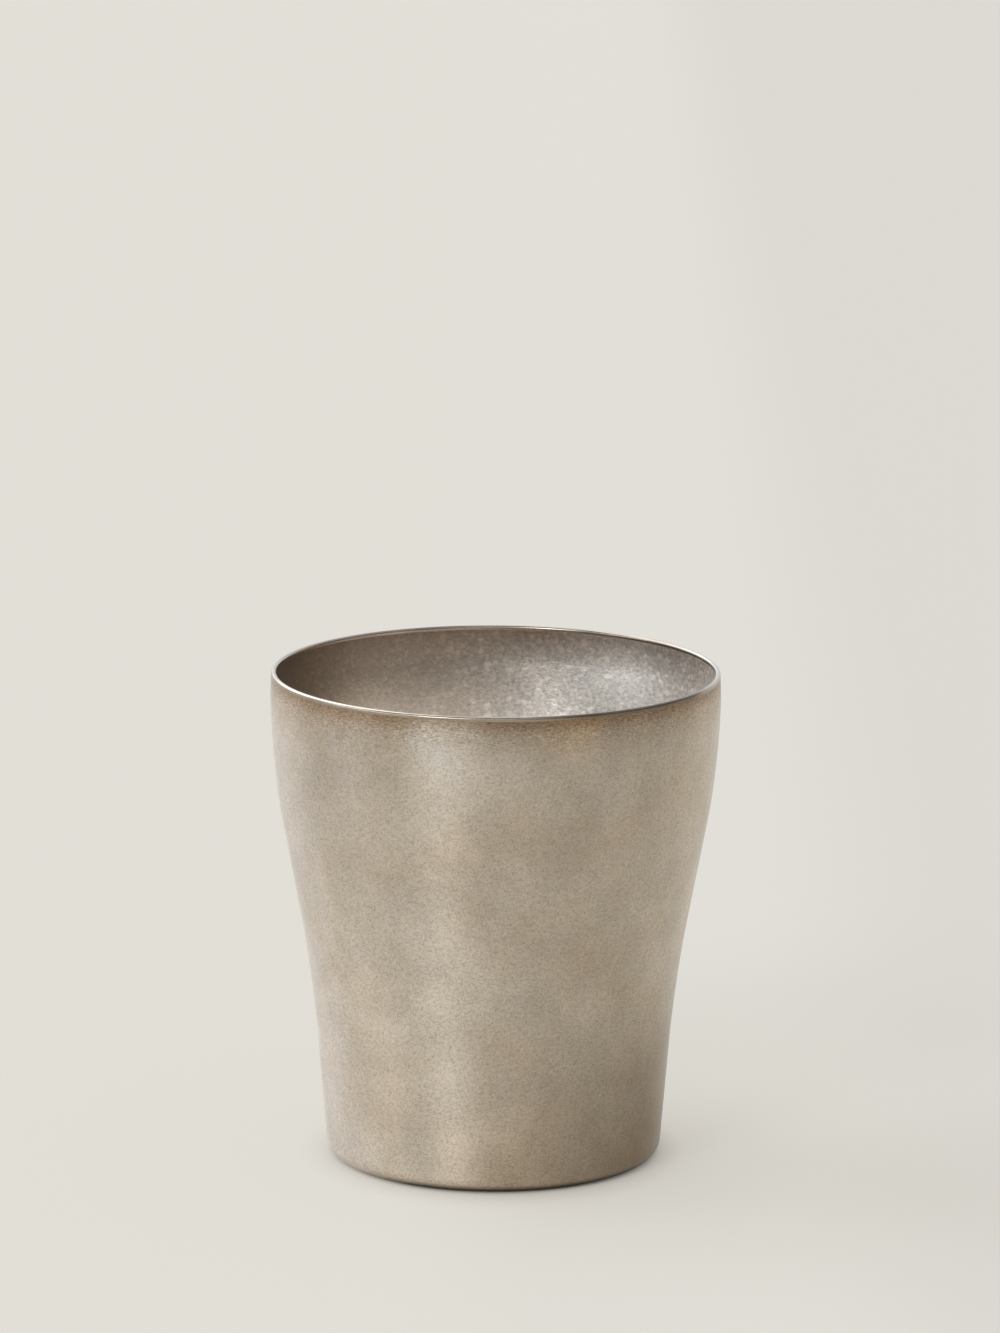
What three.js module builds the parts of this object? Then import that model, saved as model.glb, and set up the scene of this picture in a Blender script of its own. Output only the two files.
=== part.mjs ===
// A handleless drinking cup of sheet titanium with two walls and a vacuum between them.
// Millimetres, +Z up. The origin is on the standing plane, on the axis of the cup.

import * as THREE from 'three';

// Outside of the cup
const HEIGHT = 90;
const SHOULDER_RADIUS = 40.9; // widest place, a little under the lip
const LIP_TUCK = 0.15; // how far the lip draws in from the widest place
const WAIST_RADIUS = 33.1; // corner between the steep flank and the slow lower taper
const FOOT_RADIUS = 30.45; // the lower taper carried down to the standing plane
const SHOULDER_DROP = 15.9; // below the lip
const TUCK_DROP = 3.3; // below the lip, where the wall starts to draw in
const WAIST_LEVEL = 32.8;

// Each round is given by its reach, the length of wall that it takes from either side of a corner
const SHOULDER_REACH = 11.2;
const TUCK_REACH = 1.3;
const WAIST_REACH = 11.1;
const FOOT_REACH = 2.5;

// Sheet thicknesses
const SHELL_WALL = 0.4;
const LINER_WALL = 0.4;
const PAN_WALL = 0.4;
const COVER_WALL = 0.4;

// Lip, where the two sheets are fused
const MOUTH_FIT = 0.1; // slip gap between the sheets before welding
const BEAD_HEIGHT = 0.75;

// Vacuum jacket
const JACKET_GAP = 2.3; // between the walls at the waist and below
const JACKET_DEPTH = 3.6; // between the pan's plate and the liner's floor
const LINER_NECK_DROP = 4.6; // below the lip, where the liner leaves the shell
const LINER_NECK_REACH = 2.6;
const LINER_FLOOR_REACH = 7;

// Standing ring, and the pan that closes the jacket
const RING_WIDTH = 2.95;
const PAN_EDGE_GAP = 0.4; // from the pan's rim to the start of the shell's foot round
const RECESS_INSET = 1.2; // from the ring's inner edge to the recess wall
const RECESS_DEPTH = 2.6; // from the flange's underside up to the plate's
const PAN_BEND_REACH = 0.7;
const DIMPLE_RADIUS = 4.3;
const DIMPLE_DEPTH = 1;
const PORT_RADIUS = 1;

// Weld bead under the pan's flange
const SEAM_FIT = 0.05;
const SEAM_WIDTH = 0.42;
const SEAM_LIFT = 0.06; // keeps the bead off the table

// Solder in the dimple and in the port
const SEAL_FIT = 0.3;
const SEAL_SINK = 0.15; // the solder's face stays inside the dimple
const SEAL_ROUND = 0.4;
const STEM_FIT = 0.2;
const STEM_STAND = 0.3; // above the dimple, inside the jacket

// Cap over the port
const COVER_FIT = 0.1;
const COVER_LEVEL = 0.9; // above the table
const COVER_BEND_REACH = 0.6;

// Getter
const PELLET_RADIUS = 4;
const PELLET_HEIGHT = 1.7;
const PELLET_ROUND = 0.3;
const CLIP_THICKNESS = 0.25;
const CLIP_WIDTH = 3.2;
const CLIP_FOOT = 2.4;
const CLIP_FIT = 0.1;
const CLIP_BEND_REACH = 0.4;

// Fineness of the facets
const SIDES = 60;
const SMALL_SIDES = 24;
const CHORD_ERROR = 0.06;
const LEAST_STEPS = 2; // on any round

const satinTitanium = { color: 0xb3a58f, roughness: 0.45, metalness: 1 };
const crystalTitanium = { color: 0x9c8f82, roughness: 0.38, metalness: 1 };
const polishedTitanium = { color: 0xd9d3c7, roughness: 0.16, metalness: 1 };
const pressedTitanium = { color: 0x9d958a, roughness: 0.35, metalness: 1 };
const weldTitanium = { color: 0x8c857d, roughness: 0.4, metalness: 1 };
const solder = { color: 0x8f9194, roughness: 0.5, metalness: 0.9 };
const sinteredPowder = { color: 0x4d4a48, roughness: 0.9, metalness: 0.3 };
const springStrip = { color: 0xb6b5b1, roughness: 0.3, metalness: 1 };

// A corner of an outline, x from the axis and y up, with the reach of its round.
function corner(x, y, reach = 0) {
  return Object.assign(new THREE.Vector2(x, y), { reach });
}

// The reach that a corner's round can have where it shares a wall with its neighbours' rounds.
function reachWithin(corners, i) {
  const shares = [corners[i - 1], corners[i + 1]].map((neighbour) => {
    const wanted = corners[i].reach + neighbour.reach;
    return wanted > 0 ? corners[i].distanceTo(neighbour) / wanted : 1;
  });
  return corners[i].reach * Math.min(1, ...shares);
}

// The arc that rounds the corner at, between the corners before and after.
function roundCorner(before, at, after, reach) {
  const arriving = at.clone().sub(before).normalize();
  const leaving = after.clone().sub(at).normalize();
  const turn = Math.atan2(arriving.cross(leaving), arriving.dot(leaving));
  if (reach === 0 || turn === 0) {
    return [at.clone()];
  }
  const radius = reach / Math.tan(Math.abs(turn) / 2);
  const start = at.clone().addScaledVector(arriving, -reach);
  const left = new THREE.Vector2(-arriving.y, arriving.x);
  const centre = start.clone().addScaledVector(left, Math.sign(turn) * radius);
  const sag = Math.min(CHORD_ERROR, radius / 2);
  const stepAngle = 2 * Math.acos(1 - sag / radius);
  const steps = Math.max(LEAST_STEPS, Math.ceil(Math.abs(turn) / stepAngle));
  return Array.from({ length: steps + 1 }, (_, step) => {
    return start.clone().rotateAround(centre, (turn * step) / steps);
  });
}

// The points of an open line through the corners, with each corner rounded.
function roundedLine(corners) {
  return corners.flatMap((at, i) => {
    const isEnd = i === 0 || i === corners.length - 1;
    return isEnd ? [at.clone()] : roundCorner(corners[i - 1], at, corners[i + 1], reachWithin(corners, i));
  });
}

// The same line moved to its left, with rounds that stay parallel. An end keeps its height
// where the line climbs there, and its distance from the axis where it runs level.
function movedLeft(corners, distance) {
  const ways = corners.slice(1).map((at, i) => at.clone().sub(corners[i]).normalize());
  const lefts = ways.map((way) => new THREE.Vector2(-way.y, way.x));
  return corners.map((at, i) => {
    const before = lefts[Math.max(i - 1, 0)];
    const after = lefts[Math.min(i, lefts.length - 1)];
    const shift = before.clone().add(after).multiplyScalar(distance / (1 + before.dot(after)));
    if (before === after) {
      const way = ways[Math.min(i, ways.length - 1)];
      const climbs = Math.abs(way.y) > Math.abs(way.x);
      shift.addScaledVector(way, climbs ? -shift.y / way.y : -shift.x / way.x);
    }
    const turn = Math.atan2(before.cross(after), before.dot(after));
    const reach = at.reach === 0 ? 0 : Math.max(0, at.reach - distance * Math.tan(turn / 2));
    return corner(at.x + shift.x, at.y + shift.y, reach);
  });
}

// The outline of a bent sheet that lies to the left of the corners.
function sheetOutline(corners, wall) {
  return [...roundedLine(corners), ...roundedLine(movedLeft(corners, wall)).reverse()];
}

// A solid of revolution about +Z. An outline that stays off the axis is closed into a ring.
function revolve(outline, sides = SIDES) {
  const onAxis = outline[0].x === 0;
  const profile = onAxis ? outline : [...outline, outline[0].clone()];
  return new THREE.LatheGeometry(profile, sides).rotateX(Math.PI / 2);
}

function piece(name, geometry, finish) {
  const mesh = new THREE.Mesh(geometry, new THREE.MeshStandardMaterial(finish));
  mesh.name = name;
  return mesh;
}

// Levels and radii that more than one piece is built to
const sheetTop = HEIGHT - BEAD_HEIGHT;
const lipRadius = SHOULDER_RADIUS - LIP_TUCK;
const linerMouthRadius = lipRadius - SHELL_WALL - MOUTH_FIT;
const jacketInset = SHELL_WALL + JACKET_GAP;
const ringOuterRadius = FOOT_RADIUS - FOOT_REACH;
const ringInnerRadius = ringOuterRadius - RING_WIDTH;
const recessRadius = ringInnerRadius - RECESS_INSET;
const flangeLevel = SHELL_WALL;
const plateLevel = flangeLevel + RECESS_DEPTH;
const dimpleLevel = plateLevel + DIMPLE_DEPTH;
const plateTop = plateLevel + PAN_WALL;
const linerFloorLevel = plateTop + JACKET_DEPTH;

// The shell's outside runs from the inner edge of the standing ring, round the foot and up to the lip.
function outerShell() {
  const outside = [
    corner(ringInnerRadius, 0),
    corner(FOOT_RADIUS, 0, FOOT_REACH),
    corner(WAIST_RADIUS, WAIST_LEVEL, WAIST_REACH),
    corner(SHOULDER_RADIUS, HEIGHT - SHOULDER_DROP, SHOULDER_REACH),
    corner(SHOULDER_RADIUS, HEIGHT - TUCK_DROP, TUCK_REACH),
    corner(lipRadius, sheetTop),
  ];
  return piece('outer_shell', revolve(sheetOutline(outside, SHELL_WALL)), satinTitanium);
}

// The liner's jacket side runs from the middle of its floor up to the lip. It lies on the shell
// at the mouth, leaves it at the neck, and then keeps the jacket's gap down to the floor.
function innerLiner() {
  const lowerTaper = (WAIST_RADIUS - FOOT_RADIUS) / WAIST_LEVEL;
  const floorRadius = FOOT_RADIUS + lowerTaper * linerFloorLevel - jacketInset;
  const jacketSide = [
    corner(0, linerFloorLevel),
    corner(floorRadius, linerFloorLevel, LINER_FLOOR_REACH),
    corner(WAIST_RADIUS - jacketInset, WAIST_LEVEL, WAIST_REACH),
    corner(linerMouthRadius, HEIGHT - LINER_NECK_DROP, LINER_NECK_REACH),
    corner(linerMouthRadius, sheetTop),
  ];
  return piece('inner_liner', revolve(sheetOutline(jacketSide, LINER_WALL)), crystalTitanium);
}

// The fused edge sits on both sheets and is rounded over from one face to the other.
function lipWeldBead() {
  const innerRadius = linerMouthRadius - LINER_WALL;
  const edgeRound = (lipRadius - innerRadius) / 2;
  const section = [
    corner(innerRadius, sheetTop),
    corner(lipRadius, sheetTop),
    corner(lipRadius, HEIGHT, edgeRound),
    corner(innerRadius, HEIGHT, edgeRound),
    corner(innerRadius, sheetTop),
  ];
  return piece('lip_weld_bead', revolve(roundedLine(section).slice(0, -1)), polishedTitanium);
}

// The pan's flange lies on the standing ring, and its middle is pressed up into the jacket.
function basePan() {
  const underside = [
    corner(PORT_RADIUS, dimpleLevel),
    corner(DIMPLE_RADIUS, dimpleLevel),
    corner(DIMPLE_RADIUS, plateLevel),
    corner(recessRadius, plateLevel, PAN_BEND_REACH),
    corner(recessRadius, flangeLevel, PAN_BEND_REACH),
    corner(ringOuterRadius - PAN_EDGE_GAP, flangeLevel),
  ];
  return piece('base_pan', revolve(sheetOutline(underside, PAN_WALL)), pressedTitanium);
}

// A fillet bead fills the corner between the ring's inner edge and the flange.
function baseSeamWeld() {
  const outerRadius = ringInnerRadius - SEAM_FIT;
  const section = [
    corner(outerRadius - SEAM_WIDTH, flangeLevel),
    corner(outerRadius, SEAM_LIFT),
    corner(outerRadius, flangeLevel),
  ];
  return piece('base_seam_weld', revolve(section), weldTitanium);
}

// The solder fills the dimple from below and stands a little way through the port.
function portSolderSeal() {
  const radius = DIMPLE_RADIUS - SEAL_FIT;
  const stemRadius = PORT_RADIUS - STEM_FIT;
  const stemTop = dimpleLevel + PAN_WALL + STEM_STAND;
  const section = [
    corner(0, plateLevel + SEAL_SINK),
    corner(radius, plateLevel + SEAL_SINK, SEAL_ROUND),
    corner(radius, dimpleLevel),
    corner(stemRadius, dimpleLevel),
    corner(stemRadius, stemTop),
    corner(0, stemTop),
  ];
  return piece('port_solder_seal', revolve(roundedLine(section), SMALL_SIDES), solder);
}

// The cap's skirt is pressed up into the recess, and its face stays above the table.
function baseCover() {
  const radius = recessRadius - COVER_FIT;
  const underside = [
    corner(0, COVER_LEVEL),
    corner(radius, COVER_LEVEL, COVER_BEND_REACH),
    corner(radius, plateLevel - PAN_BEND_REACH - COVER_FIT),
  ];
  return piece('base_cover', revolve(sheetOutline(underside, COVER_WALL)), pressedTitanium);
}

// The pellet lies on the pan's plate, inside the jacket.
function getterPellet() {
  const section = [
    corner(0, 0),
    corner(PELLET_RADIUS, 0, PELLET_ROUND),
    corner(PELLET_RADIUS, PELLET_HEIGHT, PELLET_ROUND),
    corner(0, PELLET_HEIGHT),
  ];
  return piece('getter_pellet', revolve(roundedLine(section), SMALL_SIDES), sinteredPowder);
}

// The clip is a strap bent over the pellet, with a foot on the plate at each end.
function getterClip() {
  const side = PELLET_RADIUS + CLIP_FIT;
  const top = PELLET_HEIGHT + CLIP_FIT;
  const footEnd = side + CLIP_THICKNESS + CLIP_FOOT;
  const underside = [
    corner(-footEnd, 0),
    corner(-side, 0, CLIP_BEND_REACH),
    corner(-side, top, CLIP_BEND_REACH),
    corner(side, top, CLIP_BEND_REACH),
    corner(side, 0, CLIP_BEND_REACH),
    corner(footEnd, 0),
  ];
  const strap = new THREE.Shape(sheetOutline(underside, CLIP_THICKNESS));
  const geometry = new THREE.ExtrudeGeometry(strap, { depth: CLIP_WIDTH, bevelEnabled: false });
  geometry.translate(0, 0, -CLIP_WIDTH / 2).rotateX(Math.PI / 2);
  return piece('getter_clip', geometry, springStrip);
}

// The getter sits on the plate halfway between the dimple and the recess wall, its strap crosswise.
const getter = new THREE.Group();
getter.add(getterPellet(), getterClip());
getter.position.set((DIMPLE_RADIUS + PAN_WALL + recessRadius) / 2, 0, plateTop);
getter.rotation.z = Math.PI / 2;

const cup = new THREE.Group();
cup.name = 'double_wall_cup';
cup.add(outerShell(), innerLiner(), lipWeldBead());
cup.add(basePan(), baseSeamWeld(), portSolderSeal(), baseCover(), getter);

export default cup;
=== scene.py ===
# %% [markdown]
# A double-wall titanium cup, standing on pale paper.
#
# The real cup is two drawn sheets of titanium, fused together at the lip, with a vacuum between
# them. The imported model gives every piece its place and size. This lesson draws the same pieces
# again as smooth, dense meshes, gives each sheet its finish, and lights them in a small studio.
# Every mesh is in metres, and sizes are written in millimetres times MM.

# %% Load the frame
import math

import bmesh
import bpy
from mathutils import Matrix, Vector


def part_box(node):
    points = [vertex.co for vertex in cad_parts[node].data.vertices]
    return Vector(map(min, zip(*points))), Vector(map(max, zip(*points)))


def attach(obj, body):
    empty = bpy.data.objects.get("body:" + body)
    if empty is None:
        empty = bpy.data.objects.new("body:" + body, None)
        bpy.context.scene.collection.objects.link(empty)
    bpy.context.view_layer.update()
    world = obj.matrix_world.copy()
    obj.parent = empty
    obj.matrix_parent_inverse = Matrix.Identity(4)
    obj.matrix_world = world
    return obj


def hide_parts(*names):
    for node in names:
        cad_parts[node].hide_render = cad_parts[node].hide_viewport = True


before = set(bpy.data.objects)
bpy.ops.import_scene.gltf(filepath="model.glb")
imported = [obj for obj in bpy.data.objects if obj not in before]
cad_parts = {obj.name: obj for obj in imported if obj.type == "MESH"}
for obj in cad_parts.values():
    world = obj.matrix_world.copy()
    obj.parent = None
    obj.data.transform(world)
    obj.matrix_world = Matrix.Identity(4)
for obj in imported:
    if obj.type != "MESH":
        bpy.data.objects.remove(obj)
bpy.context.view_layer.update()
MM = 0.001

for node_name in sorted(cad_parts):
    low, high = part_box(node_name)
    print(node_name, "from", [round(v / MM, 2) for v in low], "to", [round(v / MM, 2) for v in high], "mm")

# %% [markdown]
# The camera comes first, because it decides what has to look right. The photograph was taken from
# well back with a long lens: the ellipse of the mouth and the ellipse of the foot are almost equally
# flat. A 200 mm lens at 1.34 m gives that. The camera looks down by 12 degrees at the middle of the
# mouth. The mouth is a few pixels off the picture's middle, so the camera slides in its own picture
# plane by as many pixels, and it is rolled a third of a degree because the cup leans that much.

# %% Camera
PICTURE_WIDTH, PICTURE_HEIGHT = 1000, 1333
LENS, SENSOR = 200.0, 36.0
CAMERA_DISTANCE = 1.3436
CAMERA_ELEVATION = math.radians(11.94)
CAMERA_ROLL = math.radians(0.34)
MOUTH_PIXEL = (495.9, 669.9)
FARTHEST_SEEN = 100.0

lip_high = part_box("lip_weld_bead")[1]
mouth_centre = Vector((0, 0, lip_high[2]))
backwards = Vector((0, -math.cos(CAMERA_ELEVATION), math.sin(CAMERA_ELEVATION)))
level_right = Vector((1, 0, 0))
level_up = backwards.cross(level_right)
turn = Matrix.Rotation(CAMERA_ROLL, 3, backwards)
right, up = turn @ level_right, turn @ level_up

pixel = CAMERA_DISTANCE * SENSOR / LENS / PICTURE_HEIGHT
slide = right * (PICTURE_WIDTH / 2 - MOUTH_PIXEL[0]) + up * (MOUTH_PIXEL[1] - PICTURE_HEIGHT / 2)

camera_data = bpy.data.cameras.new("photo_camera")
camera_data.lens = LENS
camera_data.sensor_width = SENSOR
camera_data.clip_end = FARTHEST_SEEN
camera = bpy.data.objects.new("photo_camera", camera_data)
bpy.context.scene.collection.objects.link(camera)
axes = Matrix((right, up, backwards)).transposed().to_4x4()
camera.matrix_world = Matrix.Translation(mouth_centre + backwards * CAMERA_DISTANCE + slide * pixel) @ axes
bpy.context.scene.camera = camera
bpy.context.scene.view_settings.view_transform = "Standard"
print("camera at", [round(v, 4) for v in camera.location])
print("one pixel is", round(pixel / MM, 4), "mm at the mouth")

# %% [markdown]
# Node trees are easier to read when one line makes one node. This helper adds a node, sets its
# attributes, and fills its inputs: a socket is linked, and anything else is written in as a value.

# %% Helper: one line for one node
def add_node(tree, kind, inputs=None, **attributes):
    node = tree.nodes.new(kind)
    for name, value in attributes.items():
        setattr(node, name, value)
    for name, value in (inputs or {}).items():
        if isinstance(value, bpy.types.NodeSocket):
            tree.links.new(value, node.inputs[name])
        else:
            node.inputs[name].default_value = value
    return node


def colour(red, green, blue):
    return (red, green, blue, 1.0)


# %% [markdown]
# The cup stands on pale warm paper. A share of what the camera and the metal see of the paper is its
# own even tone, so that the background stays pale. The share is nearly half on the right, where the
# rest is lit and keeps the cup's shadow, and most of it on the left, where the window leaves no shadow.
# Close to the foot the even tone fades out, so that the thin dark line of contact stays, more in front
# than at the sides. Far on the right, away from the window, the camera sees it a little darker.

# %% Paper
PAPER = colour(0.76, 0.735, 0.68)
PAPER_ROUGHNESS, PAPER_SHEEN = 0.9, 0.2
EVEN_SHARE_LEFT, EVEN_SHARE_RIGHT = 0.85, 0.45
LEFT_ENDS, RIGHT_STARTS = -22.0, 14.0
EVEN_STARTS, EVEN_FULL = 29.5, 40.0
EVEN_STRETCH = (1.13, 1.0, 1.0)
DARKER_STARTS, DARKER_FULL, DARKER_TONE = 45.0, 100.0, 0.87


def ease(tree, value, low, high, new_low, new_high, kind="SMOOTHSTEP"):
    """The range from low to high, in millimetres, carried over to a new range."""
    node = add_node(tree, "ShaderNodeMapRange", {
        "Value": value, "From Min": low * MM, "From Max": high * MM, "To Min": new_low, "To Max": new_high,
    }, interpolation_type=kind)
    return node.outputs[0]


def pale_paper():
    paper = bpy.data.materials.new("pale_paper")
    paper.use_nodes = True
    tree = paper.node_tree
    skin = tree.nodes["Principled BSDF"]
    skin.inputs["Base Color"].default_value = PAPER
    skin.inputs["Roughness"].default_value = PAPER_ROUGHNESS
    skin.inputs["Specular IOR Level"].default_value = PAPER_SHEEN

    where = add_node(tree, "ShaderNodeTexCoord").outputs["Object"]
    sideways = add_node(tree, "ShaderNodeSeparateXYZ", {0: where}).outputs["X"]
    most = ease(tree, sideways, LEFT_ENDS, RIGHT_STARTS, EVEN_SHARE_LEFT, EVEN_SHARE_RIGHT)
    wider = add_node(tree, "ShaderNodeVectorMath", {0: where, 1: EVEN_STRETCH}, operation="MULTIPLY")
    apart = add_node(tree, "ShaderNodeVectorMath", {0: wider.outputs[0]}, operation="LENGTH")
    even = ease(tree, apart.outputs["Value"], EVEN_STARTS, EVEN_FULL, 0.0, most, "LINEAR")

    ray = add_node(tree, "ShaderNodeLightPath").outputs
    camera_or_metal = {0: ray["Is Camera Ray"], 1: ray["Is Glossy Ray"]}
    seen = add_node(tree, "ShaderNodeMath", camera_or_metal, operation="MAXIMUM").outputs[0]
    share = add_node(tree, "ShaderNodeMath", {0: seen, 1: even}, operation="MULTIPLY").outputs[0]
    camera_only = {0: sideways, 1: ray["Is Camera Ray"]}
    looked_at = add_node(tree, "ShaderNodeMath", camera_only, operation="MULTIPLY").outputs[0]
    tone = ease(tree, looked_at, DARKER_STARTS, DARKER_FULL, 1.0, DARKER_TONE)
    shine = add_node(tree, "ShaderNodeEmission", {"Color": PAPER, "Strength": tone}).outputs[0]
    both = add_node(tree, "ShaderNodeMixShader", {0: share, 1: skin.outputs[0], 2: shine})
    tree.links.new(both.outputs[0], tree.nodes["Material Output"].inputs["Surface"])
    return paper


paper = pale_paper()
print(paper.name, len(paper.node_tree.nodes), "nodes")

# %% [markdown]
# The photograph has no horizon, so the sheet is large enough to fill the picture, and the cup's flank,
# which leans outwards, mirrors it too. A grid of one face is all that a flat floor needs.

# %% Floor
PAPER_REACH = 6.0


def paper_floor():
    shape = bmesh.new()
    bmesh.ops.create_grid(shape, x_segments=1, y_segments=1, size=PAPER_REACH)
    mesh = bpy.data.meshes.new("paper_floor")
    shape.to_mesh(mesh)
    shape.free()
    mesh.materials.append(paper)
    floor = bpy.data.objects.new("paper_floor", mesh)
    bpy.context.scene.collection.objects.link(floor)
    return floor


floor = paper_floor()
print("floor", [round(v, 2) for v in floor.dimensions])

# %% [markdown]
# The world does two jobs. To the floor it is an even fill, like a white ceiling. To the camera and
# to metal it is what the studio looks like: a dim, warm room with a few soft glows in it, where a
# window or a soft box stands. Each glow is a direction and two angles: full inside the inner one and
# gone outside the outer one. Most of them stand at the left, as in the photograph. Light Path chooses
# between the two jobs, and light that the paper has already scattered counts as fill again.

# %% World
WHITE_CEILING = colour(0.995, 1, 0.985)
DAYLIGHT = colour(0.91, 1, 1.1)
DIM_ROOM = colour(1, 0.85, 0.7)
FILL_LEVEL = 0.85
BACKDROP_LEVEL = 0.1
ONE_SCATTER = 1
BACKDROP_GLOWS = {
    "front left": {"azimuth": -33, "elevation": 30, "inner": 4, "outer": 22, "strength": 3},
    "low box": {"azimuth": -64, "elevation": 12, "inner": 4, "outer": 18, "strength": 2.1},
    "left box": {"azimuth": -85, "elevation": 16, "inner": 4, "outer": 20, "strength": 2.1},
    "left": {"azimuth": -120, "elevation": 12, "inner": 5, "outer": 25, "strength": 0.6},
    "left behind": {"azimuth": -140, "elevation": 6, "inner": 8, "outer": 42, "strength": 0.4},
    "high behind": {"azimuth": -140, "elevation": 42, "inner": 8, "outer": 36, "strength": 2.5},
    "backdrop": {"azimuth": 180, "elevation": 15, "inner": 10, "outer": 80, "strength": 1.02},
    "high in front": {"azimuth": 10, "elevation": 50, "inner": 8, "outer": 30, "strength": 0.7},
    "in front": {"azimuth": 0, "elevation": 20, "inner": 5, "outer": 30, "strength": 0.36},
    "high right": {"azimuth": 80, "elevation": 45, "inner": 8, "outer": 35, "strength": 0.5},
}


def compass(azimuth, elevation):
    """A direction: azimuth 0 is towards the camera and 90 is to the right, in degrees."""
    across, height = math.radians(azimuth), math.radians(elevation)
    level = math.cos(height)
    return Vector((math.sin(across) * level, -math.cos(across) * level, math.sin(height)))


def glow(tree, way, azimuth, elevation, inner, outer, strength):
    towards = compass(azimuth, elevation)
    facing = add_node(tree, "ShaderNodeVectorMath", {0: way, 1: towards}, operation="DOT_PRODUCT")
    fade = add_node(tree, "ShaderNodeMapRange", {
        "Value": facing.outputs["Value"],
        "From Min": math.cos(math.radians(outer)),
        "From Max": math.cos(math.radians(inner)),
        "To Min": 0.0,
        "To Max": strength,
    }, interpolation_type="SMOOTHSTEP")
    return fade.outputs[0]


def studio_world():
    world = bpy.data.worlds.new("studio")
    world.use_nodes = True
    tree = world.node_tree
    tree.nodes.clear()
    way = add_node(tree, "ShaderNodeTexCoord").outputs["Generated"]
    level = 0.0
    for place in BACKDROP_GLOWS.values():
        total = add_node(tree, "ShaderNodeMath", {0: level, 1: glow(tree, way, **place)}, operation="ADD")
        level = total.outputs[0]
    glows = add_node(tree, "ShaderNodeBackground", {"Color": DAYLIGHT, "Strength": level})
    dim = add_node(tree, "ShaderNodeBackground", {"Color": DIM_ROOM, "Strength": BACKDROP_LEVEL})
    backdrop = add_node(tree, "ShaderNodeAddShader", {0: glows.outputs[0], 1: dim.outputs[0]})
    fill = add_node(tree, "ShaderNodeBackground", {"Color": WHITE_CEILING, "Strength": FILL_LEVEL})
    ray = add_node(tree, "ShaderNodeLightPath").outputs
    mirrored = add_node(tree, "ShaderNodeMath", {
        0: ray["Is Glossy Ray"], 1: ray["Is Transmission Ray"],
    }, operation="MAXIMUM")
    seen = add_node(tree, "ShaderNodeMath", {
        0: ray["Is Camera Ray"], 1: mirrored.outputs[0],
    }, operation="MAXIMUM")
    unscattered = add_node(tree, "ShaderNodeMath", {
        0: ray["Diffuse Depth"], 1: ONE_SCATTER,
    }, operation="LESS_THAN")
    choice = add_node(tree, "ShaderNodeMath", {
        0: seen.outputs[0], 1: unscattered.outputs[0],
    }, operation="MULTIPLY")
    both = add_node(tree, "ShaderNodeMixShader", {
        0: choice.outputs[0], 1: fill.outputs[0], 2: backdrop.outputs[0],
    })
    add_node(tree, "ShaderNodeOutputWorld", {"Surface": both.outputs[0]})
    bpy.context.scene.world = world


studio_world()
print("world with", len(BACKDROP_GLOWS), "glows")

# %% [markdown]
# The lamps are suns with a very wide disc, which is how a large soft box looks from the cup: its edge
# is soft, and it lights the near and the far floor alike. Their light is a touch cool, like daylight
# through thin cloth.

# %% Lamps
BOX_TINT = (0.94, 1.0, 1.06)
SOFT_BOXES = {
    "front": {"azimuth": -32, "elevation": 35, "width": 20, "strength": 0.36},
    "left": {"azimuth": -110, "elevation": 45, "width": 40, "strength": 0.38},
}


def soft_box(name, azimuth, elevation, width, strength):
    lamp = bpy.data.lights.new("soft_box_" + name, "SUN")
    lamp.angle = math.radians(width)
    lamp.energy = strength
    lamp.color = BOX_TINT
    box = bpy.data.objects.new(lamp.name, lamp)
    bpy.context.scene.collection.objects.link(box)
    box.rotation_euler = compass(azimuth, elevation).to_track_quat("Z", "Y").to_euler()
    return box


soft_boxes = [soft_box(name, **place) for name, place in SOFT_BOXES.items()]
print(len(soft_boxes), "soft boxes")

# %% [markdown]
# Every wall of the cup is a body of revolution. The quickest way to one in Blender is to draw half of
# its outline as a wire, round the wire's corners with a vertex bevel, and spin it about the axis.
# Sheet metal then gets its thickness from solidify, as real sheet has the same thickness everywhere.

# %% Helpers: draw, round and spin an outline
SPIN_STEPS = 192
ROUND_STEPS = 12
SAME_POINT = 1e-7
ROUND_PROFILE = 0.5
SHARP_ANGLE = math.radians(35)


def draw_outline(corners, closed=False):
    shape = bmesh.new()
    points = [shape.verts.new((radius * MM, 0, height * MM)) for radius, height, _ in corners]
    ends = points[1:] + points[:1] if closed else points[1:]
    for start, end in zip(points, ends):
        shape.edges.new((start, end))
    for point, (_, _, reach) in zip(points, corners):
        if reach:
            bmesh.ops.bevel(
                shape, geom=[point], offset=reach * MM, offset_type="OFFSET", segments=ROUND_STEPS,
                profile=ROUND_PROFILE, affect="VERTICES", material=-1,
            )
    return shape


def spin_outline(shape, steps=SPIN_STEPS):
    bmesh.ops.spin(
        shape, geom=shape.verts[:] + shape.edges[:], cent=(0, 0, 0), axis=(0, 0, 1), angle=math.tau,
        steps=steps, use_merge=True,
    )
    bmesh.ops.remove_doubles(shape, verts=shape.verts[:], dist=SAME_POINT)
    bmesh.ops.dissolve_degenerate(shape, edges=shape.edges[:], dist=SAME_POINT)
    bmesh.ops.recalc_face_normals(shape, faces=shape.faces[:])
    return shape


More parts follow.
